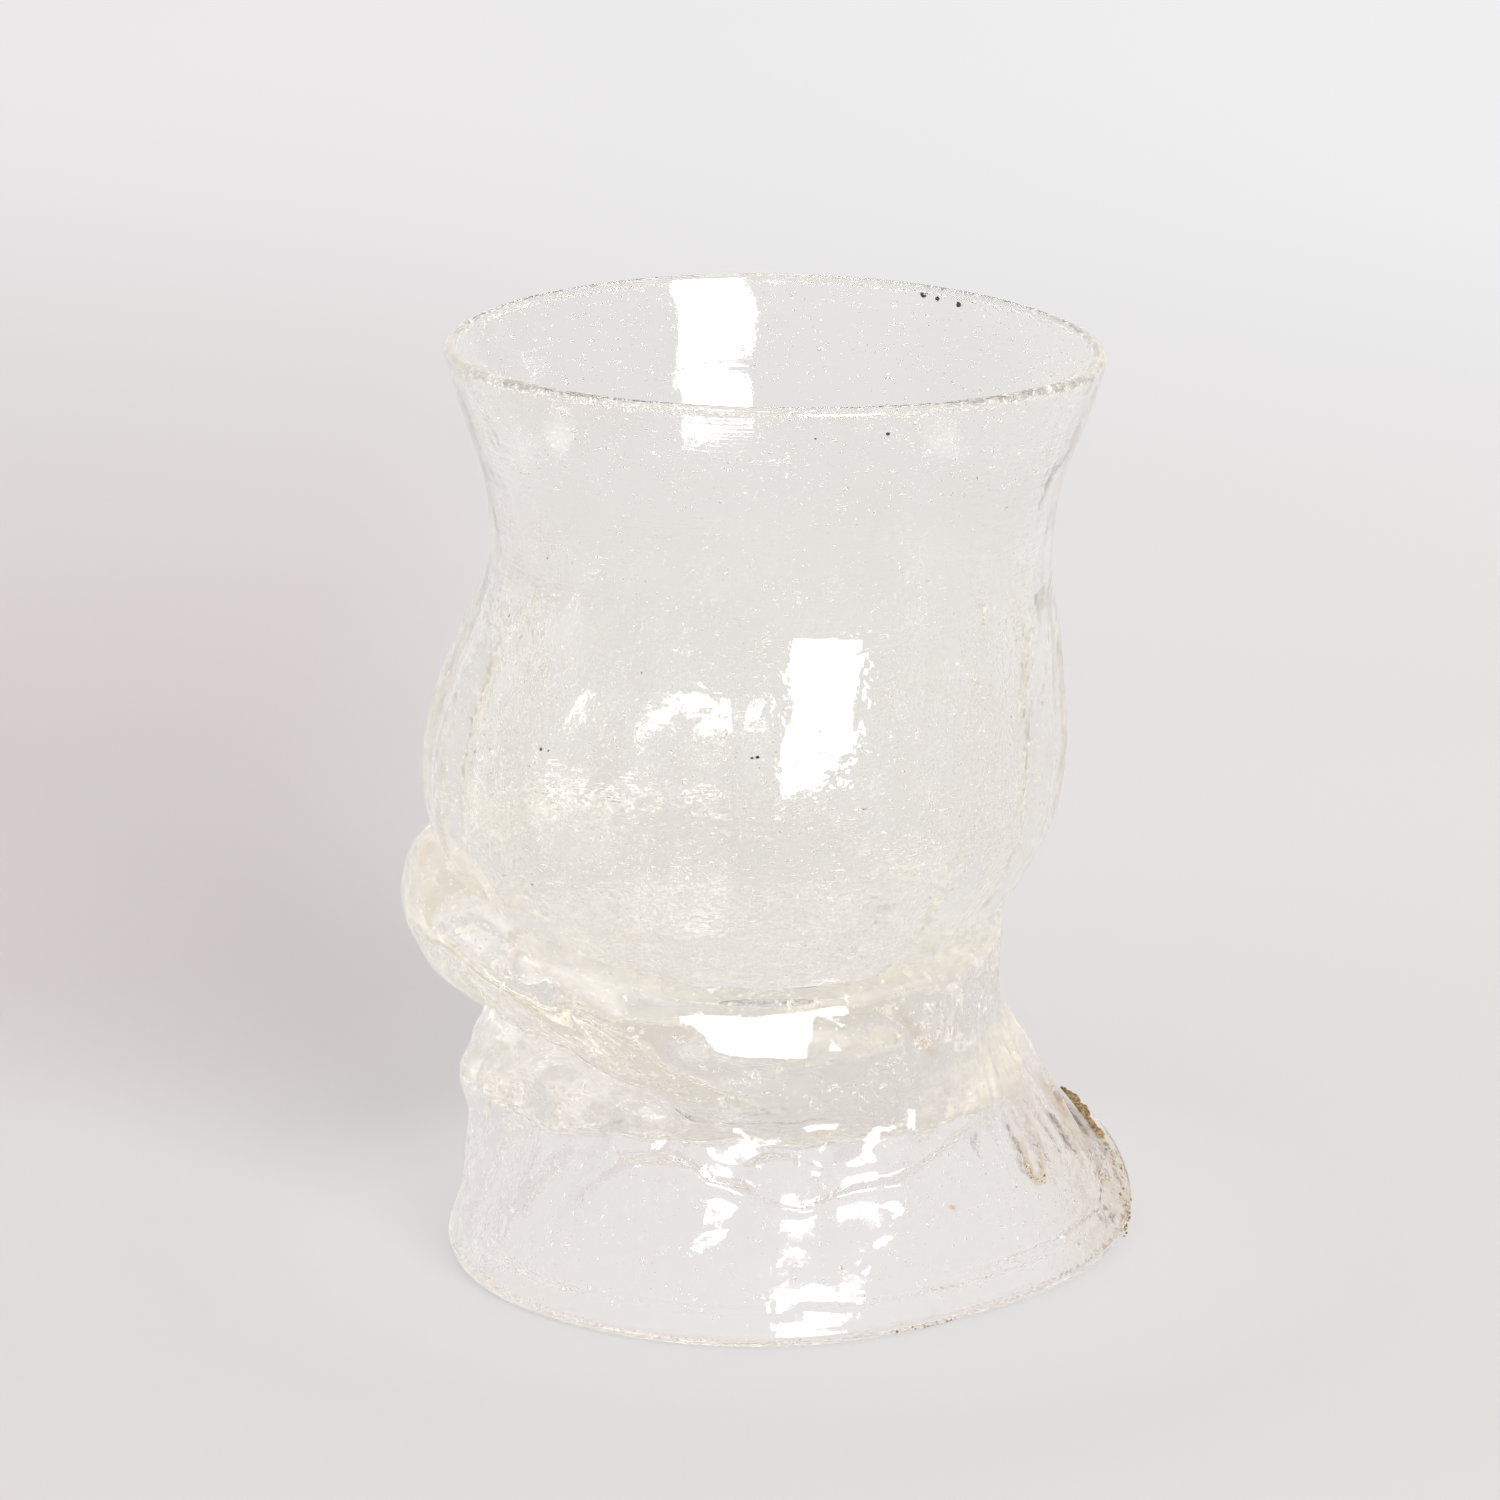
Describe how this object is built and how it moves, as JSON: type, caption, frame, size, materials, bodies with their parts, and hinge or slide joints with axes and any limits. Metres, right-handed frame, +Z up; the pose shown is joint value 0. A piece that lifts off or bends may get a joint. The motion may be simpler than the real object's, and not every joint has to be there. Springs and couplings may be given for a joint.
{
  "type": "footed glass",
  "caption": "Free-blown footed glass: flared bowl with a ribbed second gather, thick collar roll and a hollow twisted foot that leans and flares to one side.",
  "frame": {"origin": "on the table, under the middle of the glass's outline", "axes": "+Z up, +X to the side where the foot flares out, -Y towards the side that the picture shows"},
  "size_m": [0.0964, 0.093, 0.1217],
  "materials": {
    "bowl_glass": "fire-polished clear glass, very seedy",
    "gather_glass": "soft dipped ribs, seedy, faint yellow-green tint where thick",
    "collar_glass": "thick smooth roll, seedy, faint yellow-green tint",
    "foot_glass": "ribbed and twisted clear glass, brown earth left in the hem"
  },
  "bodies": {
    "root": {"bowl": "bowl_glass", "ribbed_gather": "gather_glass", "collar_roll": "collar_glass", "joining_wad": "collar_glass", "foot": "foot_glass", "pontil_scar": "foot_glass"}
  },
  "joints": []
}
